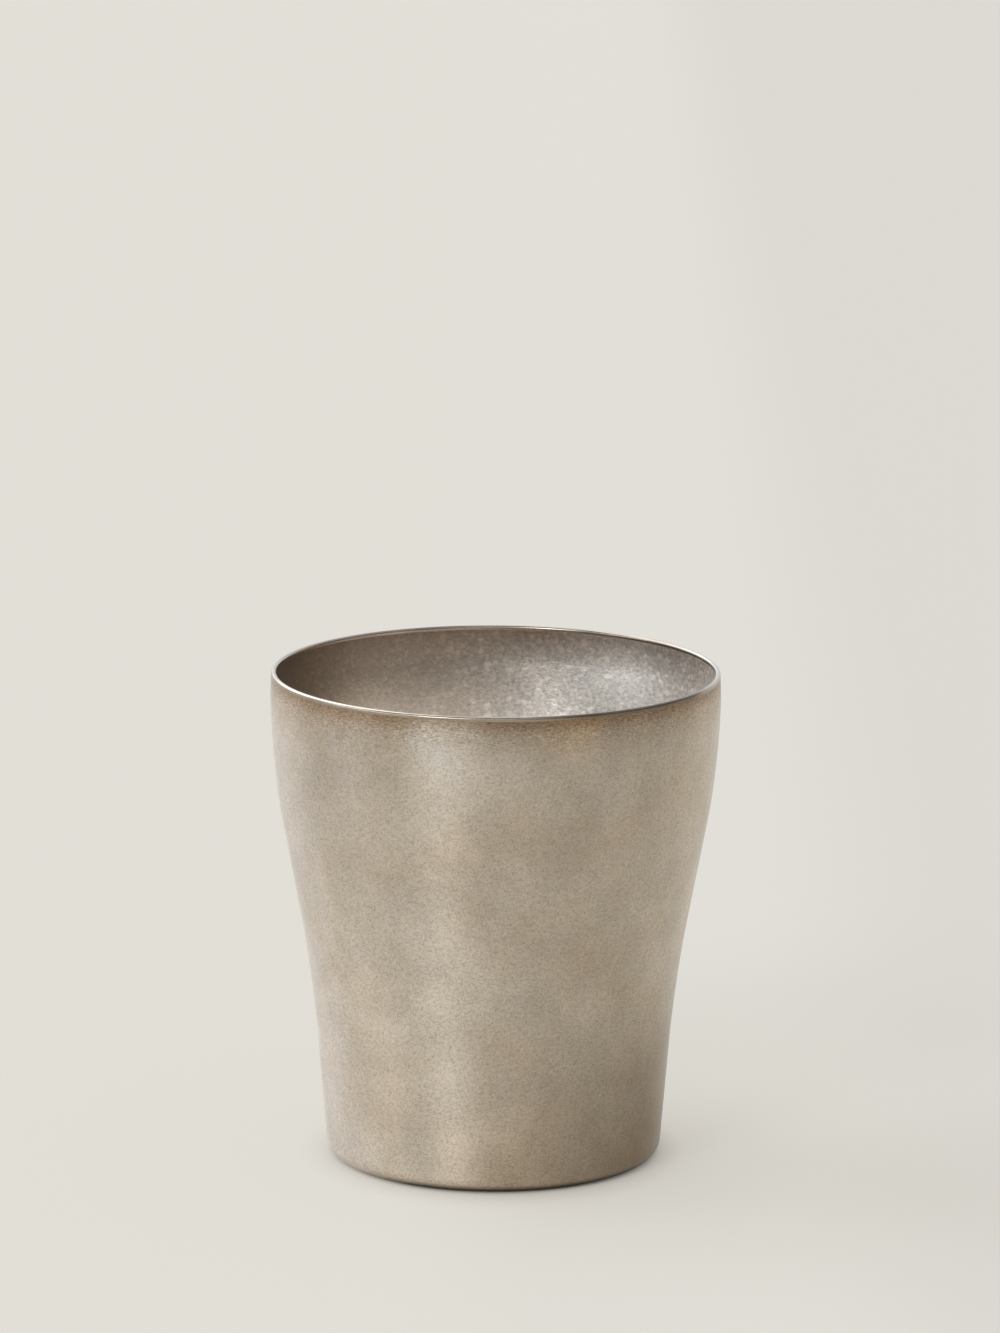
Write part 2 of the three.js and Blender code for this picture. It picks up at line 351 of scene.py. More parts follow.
def finish_piece(name, shape, node):
    mesh = bpy.data.meshes.new(name)
    shape.to_mesh(mesh)
    open_edges = sum(edge.is_boundary for edge in shape.edges)
    volume = shape.calc_volume() / MM ** 3
    low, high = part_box(node)
    over = max(max(low[i] - v.co[i], v.co[i] - high[i]) for v in shape.verts for i in range(3)) / MM
    shape.free()
    mesh.polygons.foreach_set("use_smooth", [True] * len(mesh.polygons))
    mesh.set_sharp_from_angle(angle=SHARP_ANGLE)
    piece = bpy.data.objects.new(name, mesh)
    bpy.context.scene.collection.objects.link(piece)
    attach(piece, "root")
    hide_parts(node)
    print(name, len(mesh.polygons), "faces,", open_edges, "open edges,", round(volume, 1), "mm3,", end=" ")
    print("farthest over its packed box", round(over, 3) + 0.0, "mm")
    return piece


# %% [markdown]
# The outer shell is one sheet from the inner edge of the standing ring, round the foot, up the slow
# lower taper and the steeper flank, over a soft shoulder, and in a little at the lip. For every sheet
# of this cup the drawn side is the outer or lower one, so taken together its faces must look down, and
# solidify then adds the thickness on the inner or upper side.

# %% Outer shell
SHEET = 0.4
shell_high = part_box("outer_shell")[1]
SHOULDER_RADIUS = shell_high[0] / MM
LIP_RADIUS = lip_high[0] / MM
SHEET_TOP = shell_high[2] / MM
FOOT_RADIUS, FOOT_REACH = 30.45, 2.5
RING_INNER = 25.0
WAIST_RADIUS, WAIST_LEVEL, WAIST_REACH = 33.1, 32.8, 11.1
SHOULDER_LEVEL, SHOULDER_REACH = 74.1, 11.2
TUCK_LEVEL, TUCK_REACH = 86.7, 1.3

outside = [
    (RING_INNER, 0, 0),
    (FOOT_RADIUS, 0, FOOT_REACH),
    (WAIST_RADIUS, WAIST_LEVEL, WAIST_REACH),
    (SHOULDER_RADIUS, SHOULDER_LEVEL, SHOULDER_REACH),
    (SHOULDER_RADIUS, TUCK_LEVEL, TUCK_REACH),
    (LIP_RADIUS, SHEET_TOP, 0),
]


def sheet_piece(corners):
    shape = spin_outline(draw_outline(corners))
    upward = sum(face.normal.z * face.calc_area() for face in shape.faces)
    if upward > 0:
        bmesh.ops.reverse_faces(shape, faces=shape.faces[:])
    bmesh.ops.solidify(shape, geom=shape.faces[:], thickness=SHEET * MM)
    return shape


shell = finish_piece("satin_shell", sheet_piece(outside), "outer_shell")

# %% [markdown]
# The liner is the vessel that holds the drink. It lies against the shell at the mouth, then runs
# straight in along the flank and turns into the floor with a generous round.

# %% Inner liner
liner_low, liner_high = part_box("inner_liner")
LINER_MOUTH = liner_high[0] / MM
LINER_FLOOR = liner_low[2] / MM
JACKET_INSET = 2.7
NECK_LEVEL, NECK_REACH = 85.4, 2.6
FLOOR_REACH = 7.0
lower_taper = (WAIST_RADIUS - FOOT_RADIUS) / WAIST_LEVEL
floor_radius = FOOT_RADIUS + lower_taper * LINER_FLOOR - JACKET_INSET

jacket_side = [
    (0, LINER_FLOOR, 0),
    (floor_radius, LINER_FLOOR, FLOOR_REACH),
    (WAIST_RADIUS - JACKET_INSET, WAIST_LEVEL, WAIST_REACH),
    (LINER_MOUTH, NECK_LEVEL, NECK_REACH),
    (LINER_MOUTH, SHEET_TOP, 0),
]
liner = finish_piece("crystal_liner", sheet_piece(jacket_side), "inner_liner")

# %% [markdown]
# The lip is the weld that joins the two sheets, ground round and polished. Its section is a small
# arch, as wide as both sheets together, so it is drawn as a closed outline and needs no solidify.

# %% Polished lip
LIP_INNER = LINER_MOUTH - SHEET
LIP_TOP = lip_high[2] / MM
ARCH_SHARE = 0.98
lip_round = ARCH_SHARE * (LIP_RADIUS - LIP_INNER) / 2
arch = [
    (LIP_INNER, SHEET_TOP, 0),
    (LIP_RADIUS, SHEET_TOP, 0),
    (LIP_RADIUS, LIP_TOP, lip_round),
    (LIP_INNER, LIP_TOP, lip_round),
]
lip_shape = spin_outline(draw_outline(arch, closed=True))
lip = finish_piece("polished_lip", lip_shape, "lip_weld_bead")

# %% [markdown]
# The pan is the pressed plate that closes the vacuum jacket at the bottom. Its flange is welded to the
# standing ring, its middle is pressed up, and a dimple in the centre holds the port that the air was
# drawn through. It is sheet again, so the underside is drawn and solidify adds the upper side.

# %% Base pan
pan_low, pan_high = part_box("base_pan")
RECESS_RADIUS, PLATE_LEVEL, PAN_BEND = 23.8, 3.0, 0.7
DIMPLE_RADIUS, DIMPLE_LEVEL, DIMPLE_BEND = 4.3, 4.0, 0.2
PORT_RADIUS = 1.0
FLANGE_RADIUS, FLANGE_LEVEL = pan_high[0] / MM, pan_low[2] / MM
PLATE_TOP = PLATE_LEVEL + SHEET

underside = [
    (PORT_RADIUS, DIMPLE_LEVEL, 0),
    (DIMPLE_RADIUS, DIMPLE_LEVEL, DIMPLE_BEND),
    (DIMPLE_RADIUS, PLATE_LEVEL, DIMPLE_BEND),
    (RECESS_RADIUS, PLATE_LEVEL, PAN_BEND),
    (RECESS_RADIUS, FLANGE_LEVEL, PAN_BEND),
    (FLANGE_RADIUS, FLANGE_LEVEL, 0),
]
pan = finish_piece("base_pan_pressing", sheet_piece(underside), "base_pan")

# %% [markdown]
# A small bead of weld fills the corner between the ring's inner edge and the pan. It is a three-sided
# section spun once round, with its face left slightly full, as a dressed bead is.

# %% Seam weld
seam_low, seam_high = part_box("base_seam_weld")
SEAM_OUTER, SEAM_BOTTOM = seam_high[0] / MM, seam_low[2] / MM
SEAM_LEG, SEAM_FULLNESS, SEAM_ROUND = 0.42, 0.03, 0.08
SEAM_INNER = SEAM_OUTER - SEAM_LEG
face_radius = SEAM_INNER + SEAM_LEG / 2 - SEAM_FULLNESS
face_level = (FLANGE_LEVEL + SEAM_BOTTOM) / 2 - SEAM_FULLNESS
fillet = [
    (SEAM_INNER, FLANGE_LEVEL, 0),
    (face_radius, face_level, SEAM_ROUND),
    (SEAM_OUTER, SEAM_BOTTOM, 0),
    (SEAM_OUTER, FLANGE_LEVEL, 0),
]
seam_shape = spin_outline(draw_outline(fillet, closed=True))
seam = finish_piece("base_seam_bead", seam_shape, "base_seam_weld")

# %% [markdown]
# The cover is a shallow cap pressed into the recess, which hides the port. Seen from below it is most
# of the base.

# %% Base cover
cover_low, cover_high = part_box("base_cover")
COVER_RADIUS, COVER_LEVEL = cover_high[0] / MM, cover_low[2] / MM
COVER_TOP, COVER_BEND = cover_high[2] / MM, 0.6
cap = [
    (0, COVER_LEVEL, 0),
    (COVER_RADIUS, COVER_LEVEL, COVER_BEND),
    (COVER_RADIUS, COVER_TOP, 0),
]
cover = finish_piece("base_cover_cap", sheet_piece(cap), "base_cover")

# %% [markdown]
# Inside the jacket are three things that nobody sees: the solder that ran into the port in the vacuum
# furnace, and a pellet, held by a strap, that keeps on binding gas for years. The solder and the
# pellet are small turned bodies. The pellet is spun on the axis and then moved to its place.

# %% Solder seal and getter pellet
SMALL_STEPS = 64
seal_low, seal_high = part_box("port_solder_seal")
SEAL_RADIUS, SEAL_ROUND = seal_high[0] / MM, 0.4
STEM_RADIUS, STEM_ROUND = 0.8, 0.2
seal_outline = [
    (0, seal_low[2] / MM, 0),
    (SEAL_RADIUS, seal_low[2] / MM, SEAL_ROUND),
    (SEAL_RADIUS, DIMPLE_LEVEL, 0),
    (STEM_RADIUS, DIMPLE_LEVEL, 0),
    (STEM_RADIUS, seal_high[2] / MM, STEM_ROUND),
    (0, seal_high[2] / MM, 0),
]
seal_shape = spin_outline(draw_outline(seal_outline), SMALL_STEPS)
seal = finish_piece("port_solder", seal_shape, "port_solder_seal")

pellet_low, pellet_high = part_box("getter_pellet")
getter_centre = Vector(((pellet_low[0] + pellet_high[0]) / 2, 0, 0))
PELLET_RADIUS, PELLET_ROUND = 4.0, 0.3
pellet_outline = [
    (0, pellet_low[2] / MM, 0),
    (PELLET_RADIUS, pellet_low[2] / MM, PELLET_ROUND),
    (PELLET_RADIUS, pellet_high[2] / MM, PELLET_ROUND),
    (0, pellet_high[2] / MM, 0),
]
pellet_shape = spin_outline(draw_outline(pellet_outline), SMALL_STEPS)
bmesh.ops.translate(pellet_shape, vec=getter_centre, verts=pellet_shape.verts)
pellet = finish_piece("getter_disc", pellet_shape, "getter_pellet")

# %% [markdown]
# The strap is thin spring strip: a foot on the plate, up and over the pellet, and down to another
# foot. Its underside is drawn as a wire along Y, rounded at the bends, pushed out sideways to the
# strip's width, and given its thickness.

# %% Getter clip
clip_low, clip_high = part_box("getter_clip")
STRIP, STRIP_BEND = 0.25, 0.4
STRAP_SIDE = 4.1
strap_end = clip_high[1] / MM
strap_under = clip_high[2] / MM - STRIP
strap_line = [
    (-strap_end, PLATE_TOP, 0),
    (-STRAP_SIDE, PLATE_TOP, STRIP_BEND),
    (-STRAP_SIDE, strap_under, STRIP_BEND),
    (STRAP_SIDE, strap_under, STRIP_BEND),
    (STRAP_SIDE, PLATE_TOP, STRIP_BEND),
    (strap_end, PLATE_TOP, 0),
]


def strap_shape():
    shape = draw_outline(strap_line)
    bmesh.ops.rotate(shape, cent=(0, 0, 0), matrix=Matrix.Rotation(math.tau / 4, 3, "Z"), verts=shape.verts)
    width = clip_high[0] - clip_low[0]
    bmesh.ops.translate(shape, vec=(clip_low[0], 0, 0), verts=shape.verts)
    pushed = bmesh.ops.extrude_edge_only(shape, edges=shape.edges[:])
    far_side = [item for item in pushed["geom"] if isinstance(item, bmesh.types.BMVert)]
    bmesh.ops.translate(shape, vec=(width, 0, 0), verts=far_side)
    bmesh.ops.recalc_face_normals(shape, faces=shape.faces[:])
    middle = max(shape.faces, key=lambda face: face.calc_center_median().z)
    if middle.normal.z > 0:
        bmesh.ops.reverse_faces(shape, faces=shape.faces[:])
    bmesh.ops.solidify(shape, geom=shape.faces[:], thickness=STRIP * MM)
    return shape


clip = finish_piece("getter_strap", strap_shape(), "getter_clip")

# %% [markdown]
# Now the finishes. The effects that several finishes share are node groups: a group is built once and
# then placed in each material with its own values. The first helper makes an empty group with named
# sockets. Each of the others writes the node for one thing that is done often.

# %% Helpers: node groups
VECTOR, NUMBER, TINT = "NodeSocketVector", "NodeSocketFloat", "NodeSocketColor"
MIDDLE = (0.5, 0.5, 0.5)


def new_group(name, takes, gives):
    group = bpy.data.node_groups.new(name, "ShaderNodeTree")
    for title, kind in takes.items():
        group.interface.new_socket(title, in_out="INPUT", socket_type=kind)
    for title, kind in gives.items():
        group.interface.new_socket(title, in_out="OUTPUT", socket_type=kind)
    taken = group.nodes.new("NodeGroupInput").outputs
    given = group.nodes.new("NodeGroupOutput").inputs
    return group, taken, given


def mix_colours(tree, share, first, second, blend="MIX"):
    node = add_node(
        tree, "ShaderNodeMix", {0: share, 6: first, 7: second}, data_type="RGBA", blend_type=blend,
    )
    return node.outputs[2]


def stain(tree, share, base, tint):
    """The base colour, multiplied by the tint where the share is 1."""
    return mix_colours(tree, share, base, tint, "MULTIPLY")


def shade(tree, tint, amount):
    return add_node(tree, "ShaderNodeVectorMath", {0: tint, "Scale": amount}, operation="SCALE").outputs[0]


def sums(tree, operation, first, second):
    return add_node(tree, "ShaderNodeMath", {0: first, 1: second}, operation=operation).outputs[0]


def vectors(tree, operation, first, second):
    return add_node(tree, "ShaderNodeVectorMath", {0: first, 1: second}, operation=operation).outputs[0]


def length(tree, vector):
    return add_node(tree, "ShaderNodeVectorMath", {0: vector}, operation="LENGTH").outputs["Value"]


def along(tree, where, axis):
    return add_node(tree, "ShaderNodeSeparateXYZ", {0: where}).outputs[axis]


def spread(tree, value, low, high, new_low=0.0, new_high=1.0, ease="SMOOTHSTEP"):
    """The range from low to high, carried over to a new range with soft ends."""
    node = add_node(tree, "ShaderNodeMapRange", {
        "Value": value, "From Min": low, "From Max": high, "To Min": new_low, "To Max": new_high,
    }, interpolation_type=ease)
    return node.outputs[0]


def ramp(tree, value, at_none, at_full):
    """A mask from 0 to 1, carried over evenly to a range of its own."""
    return spread(tree, value, 0.0, 1.0, at_none, at_full, "LINEAR")


def noise(tree, where, size, detail, roughness=0.5):
    node = add_node(tree, "ShaderNodeTexNoise", {
        "Vector": where, "Scale": size, "Detail": detail, "Roughness": roughness,
    })
    return node.outputs[0]


def wander(tree, where, size, detail):
    """Noise as a direction, up to half a unit long each way."""
    node = add_node(tree, "ShaderNodeTexNoise", {"Vector": where, "Scale": size, "Detail": detail})
    return vectors(tree, "SUBTRACT", node.outputs["Color"], MIDDLE)


# %% [markdown]
# Oxide clouds. A titanium cup comes out of the furnace with a thin oxide whose thickness wanders over
# the surface, so the metal is beige in one place, browner in another, and a cooler grey in a third.
# Two noises of different size choose between three tints, and a third one makes the whole patch a
# little darker or lighter. Sizes inside the group are shares of the Size that a finish gives it.

# %% Group: oxide clouds
CLOUD_SHIFT = (0.37, 0.11, 0.23)
CLOUD_DETAIL, CLOUD_ROUGHNESS = 6.0, 0.64
WARM_STARTS, WARM_FULL = 0.42, 0.68
COOL_SIZE, COOL_STARTS, COOL_FULL = 0.7, 0.44, 0.7
TONE_SIZE, TONE_DETAIL, TONE_ROUGHNESS = 1.7, 4.0, 0.6
TONE_LOW, TONE_HIGH = 0.3, 0.7
TONE_DARK, TONE_LIGHT = 0.93, 1.06


def build_oxide_clouds():
    group, take, give = new_group(
        "oxide clouds",
        {"Coordinates": VECTOR, "Base": TINT, "Warm": TINT, "Cool": TINT, "Size": NUMBER},
        {"Color": TINT},
    )
    here, size = take["Coordinates"], take["Size"]
    elsewhere = vectors(group, "ADD", here, CLOUD_SHIFT)
    cool_size = sums(group, "MULTIPLY", size, COOL_SIZE)
    tone_size = sums(group, "MULTIPLY", size, TONE_SIZE)
    warm_noise = noise(group, here, size, CLOUD_DETAIL, CLOUD_ROUGHNESS)
    cool_noise = noise(group, elsewhere, cool_size, CLOUD_DETAIL, CLOUD_ROUGHNESS)
    tone_noise = noise(group, elsewhere, tone_size, TONE_DETAIL, TONE_ROUGHNESS)
    warm_share = spread(group, warm_noise, WARM_STARTS, WARM_FULL)
    cool_share = spread(group, cool_noise, COOL_STARTS, COOL_FULL)
    warmed = mix_colours(group, warm_share, take["Base"], take["Warm"])
    cooled = mix_colours(group, cool_share, warmed, take["Cool"])
    tone = spread(group, tone_noise, TONE_LOW, TONE_HIGH, TONE_DARK, TONE_LIGHT)
    group.links.new(shade(group, cooled, tone), give["Color"])
    return group


oxide_clouds = build_oxide_clouds()
print(oxide_clouds.name, len(oxide_clouds.nodes), "nodes")

# %% [markdown]
# Blast grain. The satin came from a jet of fine beads, which leaves tiny dents of a few tenths of a
# millimetre. Two noises give the dents, a fine one and a coarse one. Both are a little flattened
# outside, because the cup was turned before it was blasted and the turning still shows as a slight
# horizontal lay. The speckle is the same height as a mask: 0 in the dents and 1 on the ridges.

# %% Group: blast grain
GRAIN_DETAIL, GRAIN_ROUGHNESS = 2.0, 0.6
COARSE_SIZE, COARSE_SHARE = 0.34, 0.3
DENT_LEVEL, RIDGE_LEVEL = 0.32, 0.68


def build_blast_grain():
    group, take, give = new_group(
        "blast grain",
        {"Coordinates": VECTOR, "Size": NUMBER, "Flatten": NUMBER},
        {"Height": NUMBER, "Speckle": NUMBER},
    )
    stretch = add_node(group, "ShaderNodeCombineXYZ", {0: 1.0, 1: 1.0, 2: take["Flatten"]}).outputs[0]
    laid = vectors(group, "MULTIPLY", take["Coordinates"], stretch)
    coarse_size = sums(group, "MULTIPLY", take["Size"], COARSE_SIZE)
    fine = noise(group, laid, take["Size"], GRAIN_DETAIL, GRAIN_ROUGHNESS)
    coarse = noise(group, laid, coarse_size, GRAIN_DETAIL, GRAIN_ROUGHNESS)
    fine_part = sums(group, "MULTIPLY", fine, 1.0 - COARSE_SHARE)
    coarse_part = sums(group, "MULTIPLY", coarse, COARSE_SHARE)
    height = sums(group, "ADD", fine_part, coarse_part)
    group.links.new(height, give["Height"])
    group.links.new(spread(group, height, DENT_LEVEL, RIDGE_LEVEL, ease="LINEAR"), give["Speckle"])
    return group


blast_grain = build_blast_grain()
print(blast_grain.name, len(blast_grain.nodes), "nodes")

# %% [markdown]
# Turned lines. A tool or a polishing pad that runs round a turned piece leaves lines round the axis.
# The noise reads the distance from the axis plus the height, stretched very much, and the direction
# round the axis, hardly stretched, so that its spots become long lines. Reading the direction as a
# point on a circle leaves no seam.

# %% Group: turned lines
FLAT = (1, 1, 0)
LINE_DETAIL, LINE_ROUGHNESS = 3.0, 0.6
LINE_LOW, LINE_HIGH = 0.3, 0.7


def build_turned_lines():
    group, take, give = new_group(
        "turned lines",
        {"Coordinates": VECTOR, "Fineness": NUMBER, "Breaks": NUMBER},
        {"Height": NUMBER, "Line": NUMBER},
    )
    round_axis = vectors(group, "MULTIPLY", take["Coordinates"], FLAT)
    way = add_node(group, "ShaderNodeVectorMath", {0: round_axis}, operation="NORMALIZE").outputs[0]
    place = shade(group, way, take["Breaks"])
    outwards = sums(group, "ADD", length(group, round_axis), along(group, take["Coordinates"], "Z"))
    across = sums(group, "MULTIPLY", outwards, take["Fineness"])
    lift = add_node(group, "ShaderNodeCombineXYZ", {0: 0.0, 1: 0.0, 2: across}).outputs[0]
    lines = noise(group, vectors(group, "ADD", place, lift), 1.0, LINE_DETAIL, LINE_ROUGHNESS)
    group.links.new(lines, give["Height"])
    group.links.new(spread(group, lines, LINE_LOW, LINE_HIGH, ease="LINEAR"), give["Line"])
    return group


turned_lines = build_turned_lines()
print(turned_lines.name, len(turned_lines.nodes), "nodes")

# %% [markdown]
# Crystal grains. When titanium is held very hot and cools slowly, its surface grows crystals that can
# be seen, and each one turns its facet another way. A Voronoi texture makes the cells, and noise moves
# every place a little first, so that no cell is a plain polygon. Each cell's random colour is used as
# a tilt: the height is a plane through the cell's centre, sloping along that random direction, and the
# bump turns it into a facet. The brightness has three parts: a fine frost, each crystal's own tone,
# and a few larger crystals, which are soft round spots painted brighter than the rest: painted glints.

# %% Group: crystal grains
STRAY_SIZE, STRAY_DETAIL, STRAY_REACH = 1.6, 2.0, 0.5
CELL_SOFTNESS, CELL_SHARE = 0.5, 0.25
FROST_SIZE, FROST_DETAIL, FROST_ROUGHNESS = 0.8, 2.0, 0.5
SPOT_SIZE, SPOT_SOFTNESS, GLINT_SHARE = 0.45, 0.3, 0.45
SPOT_EDGE, SPOT_HEART = 0.7, 0.2
SPOT_RARE, SPOT_SURE = 0.6, 0.85
SPANGLE_LOW, SPANGLE_HIGH = 0.45, 1.0


def soft_cells(tree, where, size, softness):
    return add_node(tree, "ShaderNodeTexVoronoi", {
        "Vector": where, "Scale": size, "Smoothness": softness,
    }, feature="SMOOTH_F1").outputs


def part_of(tree, tint, channel):
    return add_node(tree, "ShaderNodeSeparateColor", {0: tint}).outputs[channel]


def build_crystal_grains():
    group, take, give = new_group(
        "crystal grains",
        {"Coordinates": VECTOR, "Size": NUMBER},
        {"Height": NUMBER, "Spangle": NUMBER},
    )
    here, size = take["Coordinates"], take["Size"]
    stray = wander(group, here, sums(group, "MULTIPLY", size, STRAY_SIZE), STRAY_DETAIL)
    where = vectors(group, "ADD", here, shade(group, stray, sums(group, "DIVIDE", STRAY_REACH, size)))
    cells = soft_cells(group, where, size, CELL_SOFTNESS)
    from_centre = vectors(group, "SUBTRACT", where, cells["Position"])
    tilt = vectors(group, "SUBTRACT", cells["Color"], MIDDLE)
    slope = add_node(group, "ShaderNodeVectorMath", {0: from_centre, 1: tilt}, operation="DOT_PRODUCT")
    group.links.new(sums(group, "MULTIPLY", slope.outputs["Value"], size), give["Height"])

    frost_size = sums(group, "MULTIPLY", size, FROST_SIZE)
    frost = noise(group, where, frost_size, FROST_DETAIL, FROST_ROUGHNESS)
    tone = sums(group, "MULTIPLY", part_of(group, cells["Color"], "Green"), CELL_SHARE)
    # The soft round spots are painted glints, added to the brightness.
    spots = soft_cells(group, where, sums(group, "MULTIPLY", size, SPOT_SIZE), SPOT_SOFTNESS)
    chosen = spread(group, part_of(group, spots["Color"], "Red"), SPOT_RARE, SPOT_SURE)
    glint = sums(group, "MULTIPLY", spread(group, spots["Distance"], SPOT_EDGE, SPOT_HEART), chosen)
    glint_part = sums(group, "MULTIPLY", glint, GLINT_SHARE)
    brightness = sums(group, "ADD", sums(group, "ADD", frost, tone), glint_part)
    group.links.new(spread(group, brightness, SPANGLE_LOW, SPANGLE_HIGH, ease="LINEAR"), give["Spangle"])
    return group


crystal_grains = build_crystal_grains()
print(crystal_grains.name, len(crystal_grains.nodes), "nodes")

# %% [markdown]
# Tint and light patches. Where the cup got hotter or cooler in the furnace, the oxide is thicker or
# thinner, and a whole area is browner or paler. Most of the patches below, though, are painted shade or
# painted light. A patch is a soft ball round one point of the wall: the group measures how far a place
# is from that point, and fades from 1 there to 0 at the ball's reach. Noise carries the place about a
# little before it is measured, so that no patch is round.

# %% Group: tint and light patch
PATCH_STRAY, PATCH_STRAY_SIZE, PATCH_STRAY_DETAIL = 9.0, 110.0, 4.0


def build_tint_and_light_patch():
    group, take, give = new_group(
        "tint and light patch",
        {"Coordinates": VECTOR, "Centre": VECTOR, "Reach": NUMBER},
        {"Patch": NUMBER},
    )
    here = take["Coordinates"]
    stray = shade(group, wander(group, here, PATCH_STRAY_SIZE, PATCH_STRAY_DETAIL), PATCH_STRAY * MM)
    apart = length(group, vectors(group, "SUBTRACT", vectors(group, "ADD", here, stray), take["Centre"]))
    share = sums(group, "DIVIDE", apart, take["Reach"])
    group.links.new(spread(group, share, 1.0, 0.0), give["Patch"])
    return group


tint_and_light_patch = build_tint_and_light_patch()
print(tint_and_light_patch.name, len(tint_and_light_patch.nodes), "nodes")

# %% [markdown]
# A finish starts from a Principled shader. Values that are the same all over are written on the
# shader's own sockets, and only what changes over the surface is linked. Two more helpers place a
# group in a material and turn a height into a bump, whose depth is in millimetres.

# %% Helpers: start a finish
def new_finish(name, piece, **constants):
    material = bpy.data.materials.new(name)
    material.use_nodes = True
    tree = material.node_tree
    skin = tree.nodes["Principled BSDF"]
    for socket, value in constants.items():
        skin.inputs[socket.replace("_", " ")].default_value = value
    where = add_node(tree, "ShaderNodeTexCoord").outputs["Object"]
    piece.data.materials.clear()
    piece.data.materials.append(material)
    return tree, skin.inputs, where


def place_group(tree, group, **values):
    return add_node(tree, "ShaderNodeGroup", values, node_tree=group).outputs


def bump(tree, height, depth, strength, under=None):
    inputs = {"Height": height, "Distance": depth * MM, "Strength": strength}
    if under:
        inputs["Normal"] = under
    return add_node(tree, "ShaderNodeBump", inputs).outputs[0]


# %% [markdown]
# Satin outside. The shell was turned, blasted with fine beads, and coloured in the furnace. Clouds
# give the tint, and blast grain gives the dents and the speckle. The shader's highlight is stretched
# along the axis, because the turning under the blasting scatters light up and down more than round
# the cup: that is what draws one upright band of light down the front.

# %% Satin shell: clouds and grain
SATIN = colour(0.624, 0.539, 0.437)
SATIN_WARM = colour(0.588, 0.491, 0.381)
SATIN_COOL = colour(0.617, 0.545, 0.457)

tree, skin, where = new_finish(
    "satin_titanium", shell, Metallic=1.0, Anisotropic=0.85, Anisotropic_Rotation=0.25,
)
around = add_node(tree, "ShaderNodeTangent", direction_type="RADIAL", axis="Z").outputs[0]
tree.links.new(around, skin["Tangent"])
clouds = place_group(
    tree, oxide_clouds, Coordinates=where, Base=SATIN, Warm=SATIN_WARM, Cool=SATIN_COOL, Size=62.0,
)
grain = place_group(tree, blast_grain, Coordinates=where, Size=3900.0, Flatten=1.3)
level = along(tree, where, "Z")
print("satin shell clouds and grain", len(tree.nodes), "nodes")

# %% [markdown]
# Heat tints of the shell, which are partly the oxide's own mottling and partly painted shade: a broad
# brown shade low on the right, which paints the reflected shadow of the floor, another high on the
# left, and a few small ones on the front and under the lip. Those beside the highlight band and under
# the lip are painted shade too. Each is given by its centre and reach in millimetres and its depth.
# The deepest tint wins where two of them meet. The foot stood on the hot furnace floor, so a faint
# straw tint rises from it, though less on the left. A strip along the left edge, which leans outwards
# with the wall, is painted a more neutral grey: a painted reflection of cool daylight, and the straw
# fades out under it.

# %% Satin shell: heat tints and painted shade
# Part oxide tint and part painted shade, such as the floor's reflected shadow low on the right.
HEAT_AND_SHADE_BROWN = colour(0.11, 0.067, 0.028)
HEAT_AND_SHADE_TINTS = [
    ((30, -9, 0), 47, 0.69),
    ((19, -29, 45), 13, 0.12),
    ((22, -25, 23), 14, 0.18),
    ((8, -31, 21), 10, 0.1),
    ((-6, -35, 58), 11, 0.08),
    ((-27, -28, 82), 32, 0.3),
    ((-21, -28, 54), 17, 0.13),
    ((-26, -30, 87), 9, 0.37),
    ((1, -40, 89), 8, 0.16),
    ((-16, -27, 9), 11, 0.08),
]
FOOT_STRAW = colour(1.0, 0.968, 0.925)
STRAW_STARTS, STRAW_FULL = 30.0, 4.0
STRAW_NONE_AT, STRAW_ALL_AT = -28.0, 4.0
# A painted reflection of cool daylight along the left edge.
PAINTED_DAYLIGHT = colour(0.985, 1.0, 1.05)
DAYLIGHT_STARTS_AT, DAYLIGHT_FULL_AT = -18.0, -24.5
WALL_LEAN = 0.185


def patch_share(tree, where, centre, reach, depth):
    patch = place_group(tree, tint_and_light_patch, Coordinates=where, Centre=Vector(centre) * MM, Reach=reach * MM)
    return sums(tree, "MULTIPLY", patch["Patch"], depth)


heat_and_shade = 0.0
for centre, reach, depth in HEAT_AND_SHADE_TINTS:
    heat_and_shade = sums(tree, "MAXIMUM", patch_share(tree, where, centre, reach, depth), heat_and_shade)
toasted_and_shaded = mix_colours(tree, heat_and_shade, clouds["Color"], HEAT_AND_SHADE_BROWN)
sideways = along(tree, where, "X")
straw_level = spread(tree, level, STRAW_STARTS * MM, STRAW_FULL * MM)
straw_side = spread(tree, sideways, STRAW_NONE_AT * MM, STRAW_ALL_AT * MM)
straw = stain(tree, sums(tree, "MULTIPLY", straw_level, straw_side), toasted_and_shaded, FOOT_STRAW)
leaned = sums(tree, "ADD", sideways, sums(tree, "MULTIPLY", level, WALL_LEAN))
# The painted cool reflection follows the left edge as it leans outwards.
painted_daylight_share = spread(tree, leaned, DAYLIGHT_STARTS_AT * MM, DAYLIGHT_FULL_AT * MM)
heated_and_painted = stain(tree, painted_daylight_share, straw, PAINTED_DAYLIGHT)
print(len(HEAT_AND_SHADE_TINTS), "heat tints, and straw below", STRAW_STARTS, "mm")

# %% [markdown]
# Burnished mouth. Close under the lip the metal was rubbed round and round after blasting, so it has
# short horizontal lines there, and it is also painted darker and browner there, as painted shade under
# the lip. A mask by height, whose edge is made ragged with noise, brings both in. A narrow, still
# darker brown line right under the lip is more painted shade, a second mask of the same kind. Left of
# the middle, a patch paints the top of the highlight band paler, as a painted highlight, and right of
# the middle another one paints a warm, golden light.

# %% Satin shell: burnished mouth and painted shade
# Part burnish, part painted shade under the lip.
BURNISH_AND_SHADE_BROWN = colour(0.96, 0.87, 0.77)
BURNISH_AND_SHADE_STARTS, BURNISH_AND_SHADE_FULL = 80.0, 89.5
RAGGED, RAGGED_SIZE, RAGGED_DETAIL = 2.0, 160.0, 3.0
